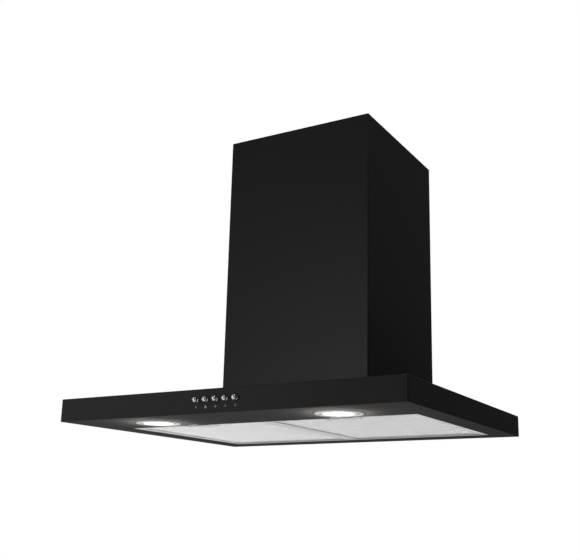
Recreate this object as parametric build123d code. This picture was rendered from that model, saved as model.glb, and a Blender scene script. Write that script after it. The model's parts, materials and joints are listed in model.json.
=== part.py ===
from build123d import *

import math
import os

# Wall-mounted chimney range hood with a flat box canopy, in millimetres.
# X is to the right seen from the front, Y points at the wall and Z is up.
# The origin is on the wall plane, at mid width, level with the underside of the canopy.

# ---- driving dimensions ------------------------------------------------------------------
SHEET = 1.0  # sheet steel of every pressed part
FOLD_R = 1.2  # outside radius of a visible fold
CONTACT_GAP = 0.3  # between parts that slide past each other
SCREW_R, SCREW_HOLE_R = 1.9, 1.9  # sheet-metal screws of the casing, and their holes

CANOPY_W, CANOPY_D, CANOPY_H = 600.0, 490.0, 36.0
SIDE_BORDER = 39.0  # painted border beside the filter opening
BACK_BORDER = 38.0
LAMP_STRIP = 124.0  # painted strip ahead of the filter opening
PANEL_UPSTAND = 12.0

CHIMNEY_W, CHIMNEY_D = 280.0, 277.0
CHIMNEY_TOP = 532.0
CHIMNEY_FLANGE = 15.0  # return flange against the wall
CHIMNEY_FOOT = 10.0  # inward foot screwed to the canopy
UPPER_BOTTOM, UPPER_TOP = 44.0, 529.0
LOUVRE_COUNT, LOUVRE_PITCH, LOUVRE_H = 9, 10.0, 4.0
TIE_SCREW_Y, TIE_SCREW_DROP = -30.0, 14.0  # screws that tie the sliding cover to its wall bracket

PLATE_HALF_W, PLATE_TOP, PLATE_T = 110.0, 216.0, 1.5  # wall plate
HANG_X, HANG_Z, LOCK_Z = 75.0, 190.0, 70.0
HANG_HOLE_R, HANG_SLOT_HALF = 4.0, 6.0

BLOWER_Y = -138.5  # centre of the blower box
BLOWER_HALF = 120.0
BLOWER_TOP = 226.0
BLOWER_FLANGE = 8.0
INTAKE_HALF = 112.0

FAN_Y, FAN_Z = -147.5, 133.5  # impeller axis, along X
FAN_R, FAN_HALF_W = 70.0, 48.0
BLADE_INNER_R = 58.0
BLADE_COUNT = 36
SCROLL_STEP, SCROLL_R1 = 9.0, 79.0
SCROLL_HALF_W, SCROLL_WALL = 58.0, 2.0
INLET_R = 56.0
SHAFT_R, SHAFT_CLEARANCE = 4.0, 0.06
MOTOR_R, MOTOR_BACK, MOTOR_FRONT = 42.0, -64.0, -14.0
SPIDER_T, SPIDER_R, SPIDER_SCREW_R = 2.0, 67.0, 1.5

CAP_Y, CAP_Z, CAP_R, CAP_L, CAP_STUD_R = -226.0, 84.0, 15.0, 52.0, 4.0  # run capacitor

COLLAR_Y = -106.0
COLLAR_R, COLLAR_WALL, COLLAR_H = 75.0, 2.0, 40.0
COLLAR_FLANGE, COLLAR_SCREW_OUT, COLLAR_SCREW_R = 9.0, 5.0, 1.6
FLAP_Z = BLOWER_TOP + 12.0
FLAP_R, FLAP_T = 71.5, 1.2
FLAP_PIN_R, KNUCKLE_R = 1.5, 3.0

LAMP_X, LAMP_Y = 162.0, -416.5
LAMP_RING_R, LAMP_LENS_R, LAMP_CUP_R = 36.0, 23.0, 26.0
LAMP_CUP_WALL, LAMP_CUP_H = 1.2, 22.0
LAMP_PROUD, LAMP_LENS_PROUD, LAMP_RING_EDGE = 1.2, 1.0, 0.8
LAMP_SCREW_ARC, LAMP_SCREW_TURN = 28.0, 15.0  # radius and angle of the two screws about the lamp's axis
LAMP_SCREW_R, LAMP_SCREW_SEAT, LAMP_SCREW_HEAD_H = 1.5, -0.6, 0.8
LAMP_SEAT_Z, BOARD_Z, BOARD_T = 2.2, 9.0, 1.6  # inside the cup: back of the lens, and the light board
EMITTER_COUNT, EMITTER_RING_R, EMITTER_R = 9, 13.0, 1.8

TERM_X, TERM_FRONT, TERM_BACK, TERM_TOP = 40.0, -250.0, -204.0, 262.0  # connection box
TERM_WALL = 2.0
TERM_WAYS = [-18.5, -8.0, 2.5]
GLAND_X, GLAND_Y, GLAND_R, GLAND_BORE_R = 20.0, -227.0, 6.0, 3.6
LEAD_R, LEAD_START_Z, LEAD_Z, LEAD_RISE_Y = 1.8, 24.5, 32.6, -243.5
LEAD_HOLES = [-33.0, -28.0, 32.0]  # where the leads pass into the connection box
LEAD_HOLE_R = LEAD_R + 0.6

BUTTON_PITCH, BUTTON_Z = 17.2, 20.4
BUTTON_R, BUTTON_PROUD, BUTTON_TRAVEL = 3.5, 6.7, 3.5
BUTTON_DOME, BUTTON_FLANGE_T, STEM_R = 1.6, 1.2, 1.9
ICON_Z, ICON_SIZE, ICON_T = 9.5, 5.6, 0.12
BUTTONS = ["light", "speed_high", "speed_medium", "speed_low", "off"]

FILTER_W, FILTER_T, FILTER_BORDER = 259.6, 9.0, 11.0
FILTER_Z = 0.8  # the frame's face sits this far above the underside
FILTER_SKIN, MITRE_W, MITRE_DEPTH = 0.9, 0.4, 0.35
MITRE_L = FILTER_BORDER * math.sqrt(2) - 2.4
FILTER_FRONT_GAP, FILTER_BACK_GAP = 0.6, 3.0
MESH_T, MESH_LEVELS = 0.4, [2.4, 4.8, 7.6]
PIVOT_Z = 3.2
TAB_X, TAB_HALF_W = 75.0, 7.0  # rear tabs, from the filter's middle
TAB_NOTCH_HALF, TAB_NOTCH_TOP = 10.0, 8.5  # notches in the opening's flanges
BOLT_NOTCH_L, CATCH_BACK = 8.5, 5.5  # in front of the opening: the bolt notch and the catch's back
LATCH_HALF_W, LATCH_POCKET_L, LATCH_L = 28.5, 27.0, 14.0
LATCH_Z, LATCH_T, POCKET_CEILING = 4.9, 2.0, 7.2
BOLT_HALF_W, BOLT_REACH = 9.0, 4.2
CATCH_HALF_W, CATCH_FOOT_IN, CATCH_T = 19.0, 12.0, 0.5

# ---- sizes that follow from them ---------------------------------------------------------
FRONT_Y = -CANOPY_D
CANOPY_HALF = CANOPY_W / 2
CANOPY_ROOF = CANOPY_H - SHEET
CHIMNEY_HALF = CHIMNEY_W / 2
OPEN_HALF = CANOPY_HALF - SIDE_BORDER
OPEN_FRONT = FRONT_Y + LAMP_STRIP
OPEN_BACK = -BACK_BORDER
FILTER_X = OPEN_HALF / 2
FILTER_FRONT = OPEN_FRONT + FILTER_FRONT_GAP
FILTER_BACK = OPEN_BACK - FILTER_BACK_GAP
FILTER_TOP = FILTER_Z + FILTER_T
BOX_FRONT, BOX_BACK = BLOWER_Y - BLOWER_HALF, BLOWER_Y + BLOWER_HALF
COLLAR_BORE = COLLAR_R - COLLAR_WALL
BLOCK_FRONT, BLOCK_BACK = FRONT_Y + 13.0, FRONT_Y + 33.0  # switch body
BUTTON_FLANGE_Y = FRONT_Y + 1.4
SIDES = {"left": -1, "right": 1}


# ---- helpers -----------------------------------------------------------------------------
def block(x0, x1, y0, y1, z0, z1):
    """A box between two corners."""
    return Pos((x0 + x1) / 2, (y0 + y1) / 2, (z0 + z1) / 2) * Box(x1 - x0, y1 - y0, z1 - z0)


def rod_x(x0, x1, y, z, r):
    """A cylinder along X."""
    return Pos((x0 + x1) / 2, y, z) * Rot(0, 90, 0) * Cylinder(r, x1 - x0)


def rod_y(x, y0, y1, z, r):
    """A cylinder along Y."""
    return Pos(x, (y0 + y1) / 2, z) * Rot(90, 0, 0) * Cylinder(r, y1 - y0)


def rod_z(x, y, z0, z1, r):
    """A cylinder along Z."""
    return Pos(x, y, (z0 + z1) / 2) * Cylinder(r, z1 - z0)


def edges_along(shape, axis, test):
    """The edges parallel to an axis whose centre passes a test."""
    return [e for e in shape.edges().filter_by(axis) if test(e.center())]


def group(*solids):
    """Separate solids kept side by side in one node."""
    return Compound(children=[s for piece in solids for s in piece.solids()])


def pan_screw(x, y, z, up, length, r=1.9, head_r=3.6, head_h=2.4):
    """A pan-head screw along Z with a crossed recess. up is +1 when the head is on top."""
    head = rod_z(x, y, min(z, z + up * head_h), max(z, z + up * head_h), head_r)
    rim = [e for e in head.edges() if abs(e.center().Z - (z + up * head_h)) < 0.01]
    head = fillet(rim, head_h * 0.4)
    shank = rod_z(x, y, min(z, z - up * length), max(z, z - up * length), r)
    tip = z + up * head_h
    depth = head_h * 0.5
    low, high = min(tip, tip - up * depth), max(tip, tip - up * depth)
    slot = head_r * 0.6
    cross = block(x - slot, x + slot, y - 0.4, y + 0.4, low, high)
    cross += block(x - 0.4, x + 0.4, y - slot, y + slot, low, high)
    return head + shank - cross


def coil_spring(x, y0, y1, z, coil_r, wire_r, turns):
    """A compression spring along Y."""
    length = y1 - y0 - 2 * wire_r
    path = Helix(length / turns, length, coil_r)
    section = Plane(origin=path @ 0, z_dir=path % 0) * Circle(wire_r)
    wound = sweep(section, path=path, is_frenet=True)
    return Pos(x, y0 + wire_r, z) * Rot(-90, 0, 0) * wound


# ---- canopy ------------------------------------------------------------------------------
def canopy_shell():
    """The folded outer box, open below, with the blower opening in its roof."""
    shell = block(-CANOPY_HALF, CANOPY_HALF, FRONT_Y, 0, 0, CANOPY_H)
    folds = edges_along(shell, Axis.Z, lambda c: c.Y < -1)
    folds += [e for e in shell.edges() if abs(e.center().Z - CANOPY_H) < 0.01 and e.center().Y < -1]
    shell = fillet(folds, FOLD_R)
    inside = CANOPY_HALF - SHEET
    shell -= block(-inside, inside, FRONT_Y + SHEET, -SHEET, -1, CANOPY_ROOF)
    intake_front, intake_back = BLOWER_Y - INTAKE_HALF, BLOWER_Y + INTAKE_HALF
    shell -= block(-INTAKE_HALF, INTAKE_HALF, intake_front, intake_back, CANOPY_ROOF - 1, CANOPY_H + 1)
    for x in button_places():
        shell -= rod_y(x, FRONT_Y - 1, FRONT_Y + 2, BUTTON_Z, BUTTON_R + CONTACT_GAP)
    for x, y in blower_screw_places() + foot_screw_places():
        shell -= rod_z(x, y, CANOPY_ROOF - 1, CANOPY_H + 1, SCREW_HOLE_R)
    return shell


def underside_panel():
    """The painted underside: lamp strip, borders, and the flanged filter opening."""
    inside = CANOPY_HALF - SHEET
    front, back = FRONT_Y + SHEET, -SHEET
    panel = block(-inside, inside, front, back, 0, PANEL_UPSTAND)
    panel -= block(-inside + SHEET, inside - SHEET, front + SHEET, back - SHEET, SHEET, PANEL_UPSTAND + 1)
    rim = OPEN_HALF + SHEET
    panel += block(-rim, rim, OPEN_FRONT - SHEET, OPEN_BACK + SHEET, 0, PANEL_UPSTAND)
    panel -= block(-OPEN_HALF, OPEN_HALF, OPEN_FRONT, OPEN_BACK, -1, PANEL_UPSTAND + 1)
    for side in SIDES.values():
        lamp_x = side * LAMP_X
        panel -= rod_z(lamp_x, LAMP_Y, -1, 2, LAMP_CUP_R)
        for x, y in lamp_screw_places(side):
            panel -= rod_z(x, y, -1, 2, LAMP_SCREW_R)
        filter_x = side * FILTER_X
        x0, x1 = filter_x - BOLT_HALF_W - 2, filter_x + BOLT_HALF_W + 2
        panel -= block(x0, x1, OPEN_FRONT - BOLT_NOTCH_L, OPEN_FRONT + 1, -1, PANEL_UPSTAND + 1)
        for x in tab_places(filter_x):
            x0, x1 = x - TAB_NOTCH_HALF, x + TAB_NOTCH_HALF
            panel -= block(x0, x1, OPEN_BACK - 1, OPEN_BACK + 2, SHEET, TAB_NOTCH_TOP)
    return panel


# ---- chimney -----------------------------------------------------------------------------
def chimney_channel(half_w, front, back, bottom, top, flange):
    """A folded sheet channel: a front, two sides and return flanges at the wall."""
    channel = block(-half_w, half_w, front, back, bottom, top)
    channel = fillet(edges_along(channel, Axis.Z, lambda c: c.Y < front + 1), FOLD_R)
    inner, gap = half_w - SHEET, half_w - flange
    channel -= block(-inner, inner, front + SHEET, back - SHEET, bottom - 1, top + 1)
    channel -= block(-gap, gap, back - 2 * SHEET, back + 1, bottom - 1, top + 1)
    return channel


def lower_chimney():
    """The fixed outer cover, with feet that are screwed to the canopy roof."""
    cover = chimney_channel(CHIMNEY_HALF, -CHIMNEY_D, 0, CANOPY_H, CHIMNEY_TOP, CHIMNEY_FLANGE)
    inner = CHIMNEY_HALF - SHEET
    for side in SIDES.values():
        x0, x1 = sorted((side * inner, side * (inner - CHIMNEY_FOOT)))
        cover += block(x0, x1, -CHIMNEY_D + 20, -20, CANOPY_H, CANOPY_H + SHEET)
    for x, y in foot_screw_places():
        cover -= rod_z(x, y, CANOPY_H - 1, CANOPY_H + 2, SCREW_HOLE_R)
    return cover


def upper_half():
    """Half the width of the sliding cover."""
    return CHIMNEY_HALF - SHEET - 1.0


def upper_chimney():
    """The sliding inner cover, with recirculation louvres near its top."""
    half_w = upper_half()
    front, back = -CHIMNEY_D + SHEET + 1.0, -SHEET - CONTACT_GAP
    cover = chimney_channel(half_w, front, back, UPPER_BOTTOM, UPPER_TOP, CHIMNEY_FLANGE - 1)
    for side in SIDES.values():
        x0, x1 = sorted((side * (half_w - 3), side * (half_w + 3)))
        for row in range(LOUVRE_COUNT):
            z = UPPER_TOP - 40 - LOUVRE_PITCH * row
            for y0, y1 in ((-200, -150), (-130, -80)):
                cover -= block(x0, x1, y0, y1, z, z + LOUVRE_H)
        cover -= rod_x(x0, x1, TIE_SCREW_Y, UPPER_TOP - TIE_SCREW_DROP, SCREW_HOLE_R + 0.2)
    return cover


def upper_chimney_bracket():
    """The U bracket that ties the top of the sliding cover to the wall."""
    arm = upper_half() - SHEET
    inside = arm - PLATE_T
    top, bottom, screw_z = UPPER_TOP - 2, UPPER_TOP - 27, UPPER_TOP - TIE_SCREW_DROP
    back = -2 * SHEET - 2 * CONTACT_GAP
    bracket = block(-arm, arm, TIE_SCREW_Y - 12, back, bottom, top)
    bracket -= block(-inside, inside, TIE_SCREW_Y - 13, back - PLATE_T, bottom - 1, top + 1)
    for side in SIDES.values():
        bracket -= rod_x(*sorted((side * (arm - 3), side * (arm + 3))), TIE_SCREW_Y, screw_z, SCREW_HOLE_R)
        bracket -= rod_y(side * 90, back - 3, back + 1, screw_z, 3.0)
    return bracket


def bracket_screws():
    """Two screws through the sliding cover into the bracket's arms, heads inside."""
    screws = []
    arm, z = upper_half() - SHEET - PLATE_T, UPPER_TOP - TIE_SCREW_DROP
    for side in SIDES.values():
        head = rod_x(*sorted((side * (arm - 2.2), side * arm)), TIE_SCREW_Y, z, 3.4)
        shank = rod_x(*sorted((side * arm, side * upper_half())), TIE_SCREW_Y, z, SCREW_R)
        screws.append(head + shank)
    return group(*screws)


def foot_screw_places():
    """Where the outer cover's feet are screwed down."""
    x = CHIMNEY_HALF - SHEET - CHIMNEY_FOOT / 2
    return [(side * x, y) for side in SIDES.values() for y in (-240.0, -37.0)]


# ---- hanging on the wall -----------------------------------------------------------------
def wall_plate():
    """The plate that carries the hood: two levelling slots above, two locking holes below."""
    plate = block(-PLATE_HALF_W, PLATE_HALF_W, -PLATE_T, 0, CANOPY_H, PLATE_TOP)
    for side in SIDES.values():
        x0, x1 = sorted((side * PLATE_HALF_W, side * (PLATE_HALF_W - PLATE_T)))
        plate += block(x0, x1, BOX_BACK, 0, CANOPY_H, PLATE_TOP)
        x0, x1 = side * HANG_X - HANG_SLOT_HALF, side * HANG_X + HANG_SLOT_HALF
        plate -= block(x0, x1, -3, 1, HANG_Z - HANG_HOLE_R, HANG_Z + HANG_HOLE_R)
        for x in (x0, x1):
            plate -= rod_y(x, -3, 1, HANG_Z, HANG_HOLE_R)
        plate -= rod_y(side * HANG_X, -3, 1, LOCK_Z, HANG_HOLE_R)
    return plate


# ---- blower ------------------------------------------------------------------------------
def blower_screw_places():
    """Where the blower box's flange is screwed to the canopy roof."""
    out = BLOWER_HALF + BLOWER_FLANGE / 2
    return [(sx * out, BLOWER_Y + sy * 80) for sx in (-1, 1) for sy in (-1, 1)]


def blower_box():
    """The sheet casing over the intake, open below."""
    out = BLOWER_HALF + BLOWER_FLANGE
    box = block(-BLOWER_HALF, BLOWER_HALF, BOX_FRONT, BOX_BACK, CANOPY_H, BLOWER_TOP)
    box = fillet(edges_along(box, Axis.Z, lambda c: True), 3)
    box += block(-out, out, BOX_FRONT, BOX_BACK, CANOPY_H, CANOPY_H + SHEET)
    inner = BLOWER_HALF - SHEET
    box -= block(-inner, inner, BLOWER_Y - inner, BLOWER_Y + inner, CANOPY_H - 1, BLOWER_TOP - SHEET)
    outlet_back = FAN_Y + SCROLL_R1 + 2.5 * SCROLL_STEP
    outlet = block(-SCROLL_HALF_W, SCROLL_HALF_W, FAN_Y - 6, outlet_back, BLOWER_TOP - 3, BLOWER_TOP + 1)
    box -= outlet & rod_z(0, COLLAR_Y, BLOWER_TOP - 3, BLOWER_TOP + 1, COLLAR_BORE)
    box -= rod_x(BLOWER_HALF - 3, BLOWER_HALF + 1, CAP_Y, CAP_Z, CAP_STUD_R)
    for x in LEAD_HOLES:
        box -= rod_z(x, LEAD_RISE_Y, BLOWER_TOP - 3, BLOWER_TOP + 1, LEAD_HOLE_R)
    for x, y in blower_screw_places():
        box -= rod_z(x, y, CANOPY_H - 1, CANOPY_H + 2, SCREW_HOLE_R)
    for x, y in collar_screw_places():
        box -= rod_z(x, y, BLOWER_TOP - 3, BLOWER_TOP + 1, COLLAR_SCREW_R)
    return box


def canopy_screws():
    """The screws of the blower's flange and the cover's feet, through the canopy roof."""
    places = blower_screw_places() + foot_screw_places()
    return group(*[pan_screw(x, y, CANOPY_H + SHEET, 1, 7, head_r=3.4) for x, y in places])


def scroll_profile(grow, top):
    """The scroll's outline in the YZ plane: three growing quarter arcs and a straight outlet."""
    half = SCROLL_STEP / 2
    r1 = SCROLL_R1 + grow
    r2, r3 = r1 + SCROLL_STEP, r1 + 2 * SCROLL_STEP
    outline = CenterArc((-half, -half), r1, 90, 90)
    outline += CenterArc((half, -half), r2, 180, 90)
    outline += CenterArc((half, half), r3, 270, 90)
    outline += Polyline((half + r3, half), (-half, half), (-half, r1 - half))
    x0, x1 = -half - grow, half + r3
    return make_face(outline) + Pos((x0 + x1) / 2, (half + top) / 2) * Rectangle(x1 - x0, top - half)


def scroll_body(half_w, grow, top):
    """The scroll's outline, grown and extruded across the fan."""
    face = Pos(-half_w, FAN_Y, FAN_Z) * (Plane.YZ * scroll_profile(grow, top))
    return extrude(face, amount=2 * half_w, dir=(1, 0, 0))


def volute_shell():
    """The whole scroll casing, with an inlet in each side and the outlet on top."""
    top = BLOWER_TOP - SHEET - FAN_Z
    shell = scroll_body(SCROLL_HALF_W, SCROLL_WALL, top)
    shell -= scroll_body(SCROLL_HALF_W - SCROLL_WALL, 0, top + 1)
    for side in SIDES.values():
        ends = sorted((side * (FAN_HALF_W + 2), side * SCROLL_HALF_W))
        shell += rod_x(*ends, FAN_Y, FAN_Z, INLET_R + 2)
        shell -= rod_x(*sorted((side * FAN_HALF_W, side * (SCROLL_HALF_W + 1))), FAN_Y, FAN_Z, INLET_R)
    return shell


def volute_half(side):
    """One moulded half of the scroll, joined to the other on the middle plane."""
    reach = SCROLL_HALF_W + 1
    x0, x1 = sorted((0, side * reach))
    half = volute_shell() & block(x0, x1, BOX_FRONT, BOX_BACK, CANOPY_H, BLOWER_TOP)
    if side < 0:
        for y, z in spider_places():
            half -= rod_x(-reach, -SCROLL_HALF_W + 4, y, z, SPIDER_SCREW_R)
    return half


def impeller():
    """The double-inlet wheel: a middle disc, forward-curved blades, end rings and a hub."""
    blade = make_face(
        ThreePointArc((BLADE_INNER_R, 0), (64.5, 1.6), (69.5, 6.5))
        + Line((69.5, 6.5), (68.8, 7.3))
        + ThreePointArc((68.8, 7.3), (63.8, 2.6), (BLADE_INNER_R, 1.0))
        + Line((BLADE_INNER_R, 1.0), (BLADE_INNER_R, 0))
    )
    blades = Sketch() + [Rot(0, 0, 360 / BLADE_COUNT * i) * blade for i in range(BLADE_COUNT)]
    face = Pos(-FAN_HALF_W, FAN_Y, FAN_Z) * (Plane.YZ * blades)
    wheel = extrude(face, amount=2 * FAN_HALF_W, dir=(1, 0, 0))
    wheel += rod_x(-0.8, 0.8, FAN_Y, FAN_Z, FAN_R - 1)
    for side in SIDES.values():
        ends = sorted((side * (FAN_HALF_W - 2), side * FAN_HALF_W))
        ring = rod_x(*ends, FAN_Y, FAN_Z, FAN_R) - rod_x(*ends, FAN_Y, FAN_Z, BLADE_INNER_R + 4)
        wheel += ring
    wheel += rod_x(-8, 10, FAN_Y, FAN_Z, 10)
    return wheel - rod_x(-9, 11, FAN_Y, FAN_Z, SHAFT_R)


def motor_shaft():
    """The shaft that carries the wheel."""
    return rod_x(MOTOR_BACK - 8, 12, FAN_Y, FAN_Z, SHAFT_R)


def motor_body():
    """The motor can, with a bearing boss at each end."""
    can = rod_x(MOTOR_BACK, MOTOR_FRONT, FAN_Y, FAN_Z, MOTOR_R)
    can = fillet([e for e in can.edges() if e.geom_type == GeomType.CIRCLE], 4)
    can += rod_x(MOTOR_FRONT, MOTOR_FRONT + 3, FAN_Y, FAN_Z, 11)
    can += rod_x(MOTOR_BACK - 4, MOTOR_BACK, FAN_Y, FAN_Z, 11)
    return can - rod_x(MOTOR_BACK - 5, MOTOR_FRONT + 4, FAN_Y, FAN_Z, 8)


def motor_bearings():
    """Two plain bearings in the motor's bosses."""
    bearings = []
    for x0, x1 in ((MOTOR_BACK - 4, MOTOR_BACK + 8), (MOTOR_FRONT - 9, MOTOR_FRONT + 3)):
        ring = rod_x(x0, x1, FAN_Y, FAN_Z, 8)
        bearings.append(ring - rod_x(x0 - 1, x1 + 1, FAN_Y, FAN_Z, SHAFT_R + SHAFT_CLEARANCE))
    return group(*bearings)


def spider_places():
    """Where the three arms of the motor's spider are screwed to the scroll."""
    angles = [math.radians(90 + 120 * i) for i in range(3)]
    return [(FAN_Y + SPIDER_R * math.cos(a), FAN_Z + SPIDER_R * math.sin(a)) for a in angles]


def motor_bracket():
    """The three-armed spider that hangs the motor in the left inlet."""
    x0, x1 = MOTOR_BACK - SPIDER_T, MOTOR_BACK
    spider = rod_x(x0, x1, FAN_Y, FAN_Z, SPIDER_R / 2)
    for i in range(3):
        arm = block(x0, x1, -7, 7, 0, SPIDER_R + 5)
        arm += block(x1, -SCROLL_HALF_W, -7, 7, SPIDER_R - 5, SPIDER_R + 5)
        spider += Pos(0, FAN_Y, FAN_Z) * Rot(120 * i, 0, 0) * arm
    for y, z in spider_places():
        spider -= rod_x(x0 - 1, -SCROLL_HALF_W + 1, y, z, SPIDER_SCREW_R)
    return spider - rod_x(x0 - 1, x1 + 1, FAN_Y, FAN_Z, 11)


def motor_screws():
    """One screw through each arm of the spider into the scroll's side wall."""
    head = MOTOR_BACK - SPIDER_T
    screws = []
    for y, z in spider_places():
        shank = rod_x(head, -SCROLL_HALF_W + SCROLL_WALL, y, z, SPIDER_SCREW_R)
        screws.append(rod_x(head - 2.2, head, y, z, 3.4) + shank)
    return group(*screws)


def capacitor():
    """The motor's run capacitor, held to the casing's side by its threaded stud and nut."""
    wall = BLOWER_HALF - SHEET
    can = rod_x(wall - CAP_L, wall, CAP_Y, CAP_Z, CAP_R)
    can = fillet([e for e in can.edges() if e.geom_type == GeomType.CIRCLE and e.center().X < wall - 1], 1.5)
    can += rod_x(wall, BLOWER_HALF + 8, CAP_Y, CAP_Z, CAP_STUD_R)
    nut = Pos(BLOWER_HALF, CAP_Y, CAP_Z) * Rot(0, 90, 0) * extrude(RegularPolygon(7, 6), amount=5)
    can += nut
    for y in (CAP_Y - 5, CAP_Y + 5):
        can += rod_x(wall - CAP_L - 8, wall - CAP_L, y, CAP_Z, 1.2)
    return can


# ---- outlet and backdraught flaps --------------------------------------------------------
def collar_screw_places():
    """Four places around the collar's flange."""
    r = COLLAR_R + COLLAR_SCREW_OUT
    angles = [math.radians(90 * i) for i in range(4)]
    return [(r * math.cos(a), COLLAR_Y + r * math.sin(a)) for a in angles]


def outlet_collar():
    """The round spigot the duct slides over, with a seat for the flaps."""
    top = BLOWER_TOP + COLLAR_H
    collar = rod_z(0, COLLAR_Y, BLOWER_TOP, top, COLLAR_R)
    collar += rod_z(0, COLLAR_Y, BLOWER_TOP, BLOWER_TOP + COLLAR_WALL, COLLAR_R + COLLAR_FLANGE)
    collar -= rod_z(0, COLLAR_Y, BLOWER_TOP - 1, top + 1, COLLAR_BORE)
    seat_top = FLAP_Z - FLAP_T / 2 - CONTACT_GAP
    seat = rod_z(0, COLLAR_Y, seat_top - 1.5, seat_top, COLLAR_BORE + 0.5)
    collar += seat - rod_z(0, COLLAR_Y, seat_top - 2, seat_top + 1, COLLAR_BORE - 4.5)
    collar -= rod_y(0, COLLAR_Y - COLLAR_R - 1, COLLAR_Y + COLLAR_R + 1, FLAP_Z, FLAP_PIN_R)
    for x, y in collar_screw_places():
        collar -= rod_z(x, y, BLOWER_TOP - 1, BLOWER_TOP + 3, COLLAR_SCREW_R)
    return collar


def collar_screws():
    """The four screws through the collar's flange into the blower box."""
    z = BLOWER_TOP + COLLAR_WALL
    sizes = {"r": COLLAR_SCREW_R, "head_r": 3.0, "head_h": 2.0}
    return group(*[pan_screw(x, y, z, 1, 7, **sizes) for x, y in collar_screw_places()])


def flap_pin():
    """The pin across the collar that both flaps swing on."""
    return rod_y(0, COLLAR_Y - COLLAR_R, COLLAR_Y + COLLAR_R, FLAP_Z, FLAP_PIN_R)


def damper_flap(side):
    """A half-round flap with two hinge knuckles on the middle pin."""
    inner = KNUCKLE_R + 0.4
    disc = rod_z(0, COLLAR_Y, FLAP_Z - FLAP_T / 2, FLAP_Z + FLAP_T / 2, FLAP_R)
    x0, x1 = sorted((side * inner, side * (FLAP_R + 1)))
    flap = disc & block(x0, x1, COLLAR_Y - 80, COLLAR_Y + 80, FLAP_Z - 5, FLAP_Z + 5)
    starts = (-52, 22) if side < 0 else (-22 - 14, 38)
    for start in starts:
        y0, y1 = COLLAR_Y + start, COLLAR_Y + start + 14
        knuckle = rod_y(0, y0, y1, FLAP_Z, KNUCKLE_R)
        x0, x1 = sorted((0, side * (inner + 1)))
        knuckle += block(x0, x1, y0, y1, FLAP_Z - FLAP_T / 2, FLAP_Z + FLAP_T / 2)
        flap += knuckle
    return flap - rod_y(0, COLLAR_Y - 80, COLLAR_Y + 80, FLAP_Z, FLAP_PIN_R + SHAFT_CLEARANCE)


# ---- supply connection -------------------------------------------------------------------
def terminal_box():
    """The connection box on the blower, open to the front under its lid."""
    box = block(-TERM_X, TERM_X, TERM_FRONT, TERM_BACK, BLOWER_TOP, TERM_TOP)
    box = fillet(edges_along(box, Axis.Y, lambda c: c.Z > TERM_TOP - 1), 3)
    inner, floor, roof = TERM_X - TERM_WALL, BLOWER_TOP + TERM_WALL, TERM_TOP - TERM_WALL
    box -= block(-inner, inner, TERM_FRONT - 1, TERM_BACK - TERM_WALL, floor, roof)
    for x in LEAD_HOLES:
        box -= rod_z(x, LEAD_RISE_Y, BLOWER_TOP - 1, floor + 1, LEAD_HOLE_R)
    return box - rod_z(GLAND_X, GLAND_Y, roof - 1, TERM_TOP + 1, GLAND_R)


def terminal_lid():
    """The plate over the connection box's open front."""
    lid = block(-TERM_X, TERM_X, TERM_FRONT - TERM_WALL, TERM_FRONT, BLOWER_TOP, TERM_TOP)
    return fillet(edges_along(lid, Axis.Y, lambda c: c.Z > TERM_TOP - 1), 3)


def terminal_block():
    """The three-way block, with a screw pocket over each way."""
    body = block(-24, 8, -240, -222, BLOWER_TOP + TERM_WALL, BLOWER_TOP + 16)
    for x in TERM_WAYS:
        body -= rod_z(x, -231, BLOWER_TOP + 10, BLOWER_TOP + 17, 3)
        body -= rod_y(x, -241, -221, BLOWER_TOP + 6, 1.8)
    return body


def cable_gland():
    """The clamping gland for the supply lead, on top of the connection box."""
    nut_top, cap_top = TERM_TOP + 5, TERM_TOP + 15
    gland = rod_z(GLAND_X, GLAND_Y, TERM_TOP - 5, TERM_TOP, GLAND_R)
    nut = extrude(Pos(GLAND_X, GLAND_Y, TERM_TOP) * RegularPolygon(9.5, 6), amount=5)
    cap = rod_z(GLAND_X, GLAND_Y, nut_top, cap_top, 8)
    cap = fillet([e for e in cap.edges() if abs(e.center().Z - cap_top) < 0.01], 2.5)
    return gland + nut + cap - rod_z(GLAND_X, GLAND_Y, TERM_TOP - 6, cap_top + 1, GLAND_BORE_R)


# ---- lamps -------------------------------------------------------------------------------
def lamp_screw_places(side):
    """The two screw places of one lamp, on a line turned a little from the canopy's width."""
    angle = math.radians(LAMP_SCREW_TURN)
    dx, dy = LAMP_SCREW_ARC * math.cos(angle), LAMP_SCREW_ARC * math.sin(angle)
    return [(side * LAMP_X + end * dx, LAMP_Y + end * dy) for end in (-1, 1)]


def lamp_ring(side):
    """The trim ring: a thin flat ring with a bevelled rim and two sunk screw seats."""
    x = side * LAMP_X
    ring = rod_z(x, LAMP_Y, -LAMP_PROUD, 0, LAMP_RING_R)
    ring = chamfer([e for e in ring.edges() if e.center().Z < -1], LAMP_RING_EDGE)
    ring -= rod_z(x, LAMP_Y, -5, 5, LAMP_LENS_R)
    for screw_x, y in lamp_screw_places(side):
        ring -= rod_z(screw_x, y, -3, 1, LAMP_SCREW_R)
        ring -= rod_z(screw_x, y, -3, LAMP_SCREW_SEAT, 3.0)
    return ring


def lamp_lens(side):
    """The frosted lens, slightly domed."""
    x = side * LAMP_X
    lens = rod_z(x, LAMP_Y, -LAMP_LENS_PROUD, LAMP_SEAT_Z, LAMP_LENS_R)
    return fillet([e for e in lens.edges() if e.center().Z < 0], 0.8)


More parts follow.
